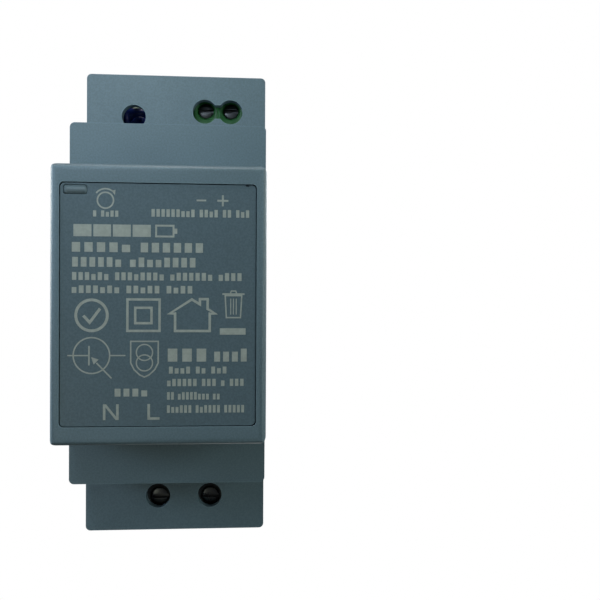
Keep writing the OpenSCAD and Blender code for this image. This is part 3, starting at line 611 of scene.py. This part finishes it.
def on_board(x, z):
    """Maps local points, with z as the height over the board, to the part."""
    return lambda p: Vector((x + p.x, BOARD - p.z, z + p.y))


def middle(node):
    """Centre and size of a node's box in millimetres."""
    low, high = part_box(node)
    return (low + high) / 2 / MM, (high - low) / MM


def spring():
    """The clip's return spring, with dead turns at both ends."""
    centre, size = middle("rail_clip_spring")
    wire, room = 0.2, 0.03
    radius = size.x / 2 - wire
    turns, steps, dead = 8.4, 28, 1.1
    low = centre.z - size.z / 2 + wire + room
    high = centre.z + size.z / 2 - wire - room
    lift = 2.1 * wire
    pitch = (high - low - 2 * dead * lift) / (turns - 2 * dead)
    path = []
    for i in range(int(turns * steps) + 1):
        t = i / steps
        lower, upper = min(t, dead), max(0, t - turns + dead)
        live = max(0, min(t, turns - dead) - dead)
        rise = lower * lift + live * pitch + upper * lift
        a = math.tau * t
        path.append((centre.x + radius * math.cos(a), centre.y + radius * math.sin(a), low + rise))
    parts = Parts()
    parts.tube(path, wire, 10)
    piece = add_piece("clip_spring_coil", parts.mesh("clip_spring_coil"), "spring_steel", smooth=ROUND)
    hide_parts("rail_clip_spring")
    return piece


def cut(name, mesh, low, high):
    """A copy of mesh with the box between those two corners, in millimetres, cut away."""
    box = Parts()
    box.add(itertools.product(*zip(low, high)), BOX_FACES)
    body = bpy.data.objects.new("body", mesh)
    knife = bpy.data.objects.new("knife", box.mesh("knife"))
    for obj in (body, knife):
        bpy.context.scene.collection.objects.link(obj)
    boolean = body.modifiers.new("cut", "BOOLEAN")
    boolean.object = knife
    bpy.context.view_layer.update()
    result = bpy.data.meshes.new_from_object(body.evaluated_get(bpy.context.evaluated_depsgraph_get()))
    result.name = name
    for obj in (body, knife):
        bpy.data.objects.remove(obj)
    return result


def slotted_head(name, place, radius, height):
    """Turned screw head with a crowned front and a slot across it."""
    slot_width, slot_depth = 0.7, 0.9
    aside, ahead = 4, 1  # the knife reaches well past the head
    profile = ((0, 0), (radius * 0.72, 0), (radius - 0.12, 0.09), (radius, 0.26), (radius, height - 0.08),
               (radius - 0.1, height), (0, height))
    head = Parts()
    head.lathe(profile, place, 48)
    low = place(Vector((-aside, -slot_width / 2, -ahead)))
    high = place(Vector((aside, slot_width / 2, slot_depth)))
    return cut(name, head.mesh("head"), low, high)


def screw_thread(place, shank, start, length, pitch):
    """Threaded shank whose thread runs out at the far end."""
    depth, crest, sides = 0.17, 2.6, 28
    root = shank - 0.02 - depth
    steps = int(length / pitch * 8)
    rings = []
    for i in range(steps + 1):
        height = start + length * i / steps
        fade = min(1.0, (steps - i) / 5 + 0.35)
        ring = []
        for j in range(sides):
            phase = (height / pitch - j / sides) % 1
            tooth = max(0.0, 1 - abs(phase - 0.5) * crest)
            r = root + depth * tooth * fade
            a = math.tau * j / sides
            ring.append(place(Vector((r * math.cos(a), r * math.sin(a), height))))
        rings.append(ring)
    thread = Parts()
    thread.skin(rings)
    return thread.mesh("thread")


def terminal_screw(node, shank, head, pitch):
    """Slotted screw with a real thread. The head is at the front and the shank runs back from it."""
    centre, size = middle(node)
    front, back = centre.y - size.y / 2, centre.y + size.y / 2
    lap = 0.05
    place = lambda p: Vector((centre.x + p.x, front + p.z, centre.z + p.y))
    mesh = slotted_head(node + "_head", place, size.x / 2, head)
    bm = bmesh.new()
    bm.from_mesh(mesh)
    bm.from_mesh(screw_thread(place, shank, head - lap, back - front - head + lap, pitch))
    bm.to_mesh(mesh)
    bm.free()
    piece = add_piece(node + "_turned", mesh, "zinc_steel", node)
    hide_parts(node)


def toroid_turns():
    """Two sections of enamelled wire wound round the toroid, whose axis lies along X."""
    core, size = middle("choke_core")
    wire, turns, corner = 0.37, 12, 0.5
    ring_width, span = 3.6, 132
    off = wire + 0.06
    inner, outer, half = size.y / 2 - ring_width - off, size.y / 2 + off, size.x / 2 + off
    loop = []
    for cx, cr, start in ((half - corner, outer - corner, 0), (-half + corner, outer - corner, 90),
                          (-half + corner, inner + corner, 180), (half - corner, inner + corner, 270)):
        for k in range(4):
            a = math.radians(start + 30 * k)
            loop.append((cx + corner * math.cos(a), cr + corner * math.sin(a)))
    parts = Parts()
    for first in (24, 204):
        path = []
        for t in range(turns):
            for k, (x, r) in enumerate(loop):
                a = math.radians(first + span * (t + k / len(loop)) / turns)
                path.append((core.x + x, core.y + r * math.cos(a), core.z + r * math.sin(a)))
        parts.tube(path, wire, 9)
    piece = add_piece("choke_turns", parts.mesh("choke_turns"), "enamelled_copper", smooth=ROUND)
    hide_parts("choke_windings")


def drum_turns():
    """Outer layer of wire on the output choke, over a plain drum for the layers under it."""
    centre, size = middle("output_choke_winding")
    wire, under, bore, turn_steps = 0.29, 0.6, 1.64, 26
    half = size.y / 2
    place = lambda p: Vector((centre.x + p.x, centre.y + p.z, centre.z + p.y))
    parts = Parts()
    drum = size.x / 2 - under
    parts.lathe([(bore, -half), (drum, -half), (drum, half), (bore, half), (bore, -half)], place, 32)
    radius = size.x / 2 - wire
    turns = size.y / (2.06 * wire) - 1
    steps = int(turns * turn_steps)
    path = []
    for i in range(steps + 1):
        a = math.tau * i / turn_steps
        height = -half + wire + (size.y - 2 * wire) * i / steps
        path.append(place(Vector((radius * math.cos(a), radius * math.sin(a), height))))
    parts.tube(path, wire, 9)
    piece = add_piece("output_choke_turns", parts.mesh("output_choke_turns"), "enamelled_copper", smooth=SOFT)
    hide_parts("output_choke_winding")


def pin_ends(*names):
    """Places (x, z) in millimetres where wires come out behind the board."""
    end, apart = 0.1, 1.0
    found = []
    for name in names:
        vertices = nodes[name].data.vertices
        rear = max(v.co.y for v in vertices)
        for v in vertices:
            if v.co.y > rear - end * MM:
                spot = Vector((v.co.x, v.co.z)) / MM
                near = [g for g in found if (g[0] - spot).length < apart]
                if near:
                    near[0].append(spot)
                else:
                    found.append([spot])
    return [sum(g, Vector((0, 0))) / len(g) for g in found]


def solder():
    """A fillet round every wire behind the board, each swollen a little differently."""
    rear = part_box("main_board")[1].y / MM
    parts = Parts()
    for spot in pin_ends("component_leads", "output_current_bars", "input_current_bars"):
        swell = rng.uniform(0.9, 1.1)
        fillet = ((0, -0.02), (0.82 * swell, -0.02), (0.8 * swell, 0.05), (0.58 * swell, 0.25), (0.46, 0.6),
                  (0.43, 0.95 * swell), (0, swell))
        parts.lathe(fillet, lambda p: Vector((spot.x + p.x, rear + p.z, spot.y + p.y)), 18)
    add_piece("solder_joints", parts.mesh("solder_joints"), "tinned_copper", smooth=SOFT)


def sleeve_patch(parts, place, radius, thick, heights, start, end):
    """A thin curved plate on a round sleeve, from the start angle to the end angle in degrees."""
    steps = 8
    rows = []
    for r in (radius, radius + thick):
        for h in heights:
            angles = [math.radians(start + (end - start) * i / steps) for i in range(steps + 1)]
            rows.append([place(Vector((r * math.cos(a), r * math.sin(a), h))) for a in angles])
    parts.ribbon(rows, False)


def can_stripes():
    """Pale band down each capacitor's sleeve, with dashes on it."""
    low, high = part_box("output_capacitor_sleeves")
    z, radius = (low.z + high.z) / 2 / MM, (high.z - low.z) / 2 / MM
    cans = [(x, z, radius, BOARD - low.y / MM) for x in (low.x / MM + radius, high.x / MM - radius)]
    centre, size = middle("bulk_capacitor_sleeve")
    cans.append((centre.x, centre.z, size.x / 2, BOARD - centre.y + size.y / 2))
    foot, shoulder, dash, count = 3.4, 1.2, 0.35, 4
    band, dashes = Parts(), Parts()
    for x, z, radius, top in cans:
        place = on_board(x, z)
        sleeve_patch(band, place, radius, 0.01, (foot, top - shoulder), 60, 100)
        for k in range(count):
            h = 6 + (top - 10) * k / (count - 1)
            sleeve_patch(dashes, place, radius + 0.005, 0.012, (h - dash, h + dash), 70, 90)
    add_piece("sleeve_bands", band.mesh("sleeve_bands"), "can_sleeve", look="print_ink", smooth=CURVED)
    add_piece("sleeve_dashes", dashes.mesh("sleeve_dashes"), "can_sleeve", smooth=CURVED)


# Shank radius, head height and thread pitch
OUTPUT_SCREW = (1.2, 1.7, 0.45)
INPUT_SCREW = (1.45, 1.5, 0.5)

coil = spring()
for pole, sizes in (("minus", OUTPUT_SCREW), ("plus", OUTPUT_SCREW), ("n", INPUT_SCREW), ("l", INPUT_SCREW)):
    terminal_screw(pole + "_screw", *sizes)
toroid_turns()
drum_turns()
solder()
can_stripes()
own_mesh(coil)


# ---------------------------------------------------------------- floor, light and camera

FLOOR_SIZE = 4000
CLIP_ROOM = 5  # the rail clip slides out below the housing
# Height in the sky from 0 at the bottom to 1 at the top, and brightness
SKY = ((0.3, 0.04), (0.55, 0.05), (0.85, 0.06))
# Name, place, target, size, power and colour
LIGHTS = (
    ("left", (-200, -75, 45), (0, -45, 8), 60, 0.13, (0.6, 0.78, 1.0)),
    ("left_front", (-190, -190, 60), (0, -50, 10), 140, 0.1, (0.66, 0.84, 1.0)),
    ("right", (230, -170, 30), (0, -20, 0), 160, 0.2, (0.82, 1.0, 0.96)),
    ("key", (-25, -110, 65), (0, -50, 25), 45, 0.019, (0.74, 0.88, 1.0)),
    ("upper", (0, -95, 110), (0, -50, 25), 60, 0.012, (0.7, 1.0, 0.9)),
    ("lower", (-80, -160, -50), (0, -50, -10), 80, 0.014, (0.96, 1.0, 0.8)),
    ("above", (-20, -75, 200), (0, -45, 30), 60, 0.11, (1.0, 0.9, 0.86)),
    ("under", (30, 130, -220), (0, -10, -40), 120, 0.1, (0.95, 1.0, 1.0)),
    ("side_left", (-230, 50, 60), (0, -25, 0), 130, 0.45, (1.0, 1.0, 0.93)),
    ("side_right", (230, 50, 60), (0, -25, 0), 130, 0.2, (0.95, 1.0, 0.98)),
    ("back", (90, 230, 120), (0, 0, 0), 200, 0.8, (0.93, 0.98, 1.0)),
)


def stage_material():
    """White to the camera from above and clear to everything else, so that no light comes back up from it."""
    look = Look("floor_white", (1, 1, 1), 0.9)
    emission = look.node("ShaderNodeEmission", Strength=1.0)
    emission.inputs["Color"].default_value = (1, 1, 1, 1)
    clear = look.node("ShaderNodeBsdfTransparent").outputs[0]
    above = look.node("ShaderNodeMixShader")
    look.link(look.node("ShaderNodeLightPath").outputs["Is Camera Ray"], above.inputs[0])
    look.link(clear, above.inputs[1])
    look.link(emission.outputs[0], above.inputs[2])
    both = look.node("ShaderNodeMixShader")
    look.link(look.node("ShaderNodeNewGeometry").outputs["Backfacing"], both.inputs[0])
    look.link(above.outputs[0], both.inputs[1])
    look.link(clear, both.inputs[2])
    look.link(both.outputs[0], look.tree.nodes["Material Output"].inputs["Surface"])
    return look.material


def studio_world():
    """White to the camera, and a dim sky that brightens upwards to everything else."""
    world = bpy.data.worlds.new("studio")
    bpy.context.scene.world = world
    world.use_nodes = True
    tree = world.node_tree
    coordinates = tree.nodes.new("ShaderNodeTexCoord")
    split = tree.nodes.new("ShaderNodeSeparateXYZ")
    tree.links.new(coordinates.outputs["Generated"], split.inputs[0])
    heights = tree.nodes.new("ShaderNodeMapRange")
    heights.inputs["From Min"].default_value = -1
    tree.links.new(split.outputs["Z"], heights.inputs["Value"])
    sky = tree.nodes.new("ShaderNodeValToRGB")
    sky.color_ramp.elements.new(0.5)
    for element, (position, grey) in zip(sky.color_ramp.elements, SKY):
        element.position = position
        element.color = (grey * 0.97, grey * 0.99, grey, 1)
    tree.links.new(heights.outputs["Result"], sky.inputs["Fac"])
    path = tree.nodes.new("ShaderNodeLightPath")
    seen = tree.nodes.new("ShaderNodeMix")
    seen.data_type = "RGBA"
    tree.links.new(path.outputs["Is Camera Ray"], seen.inputs[0])
    tree.links.new(sky.outputs["Color"], seen.inputs[6])
    seen.inputs[7].default_value = (1, 1, 1, 1)
    tree.links.new(seen.outputs[2], tree.nodes["Background"].inputs["Color"])


def area_light(name, place, target, size, power, colour):
    data = bpy.data.lights.new(name, "AREA")
    data.shape = "DISK"
    data.size = size * MM
    data.energy = power
    data.color = colour
    light = bpy.data.objects.new(name, data)
    light.location = [c * MM for c in place]
    aim = Vector(target) - Vector(place)
    light.rotation_euler = aim.to_track_quat("-Z", "Y").to_euler()
    bpy.context.scene.collection.objects.link(light)


floor_z = cad_box[0].z / MM - CLIP_ROOM
corners = [(x * FLOOR_SIZE, y * FLOOR_SIZE, floor_z) for x, y in ((-1, -1), (1, -1), (1, 1), (-1, 1))]
floor = bpy.data.objects.new("floor", mesh_of("floor", corners, [(0, 1, 2, 3)]))
floor.data.materials.append(stage_material())
bpy.context.scene.collection.objects.link(floor)

studio_world()
for light in LIGHTS:
    area_light(*light)

camera = bpy.data.objects.new("camera", bpy.data.cameras.new("camera"))
bpy.context.scene.collection.objects.link(camera)
camera.data.lens = 40.2
camera.data.sensor_width = 36
camera.data.clip_start = 0.005
camera.location = (0.0155, -0.1658, 0.0018)
camera.rotation_euler = [math.radians(a) for a in (89.55, -0.3, -3.9)]
bpy.context.scene.camera = camera
bpy.context.scene.view_settings.view_transform = "Standard"
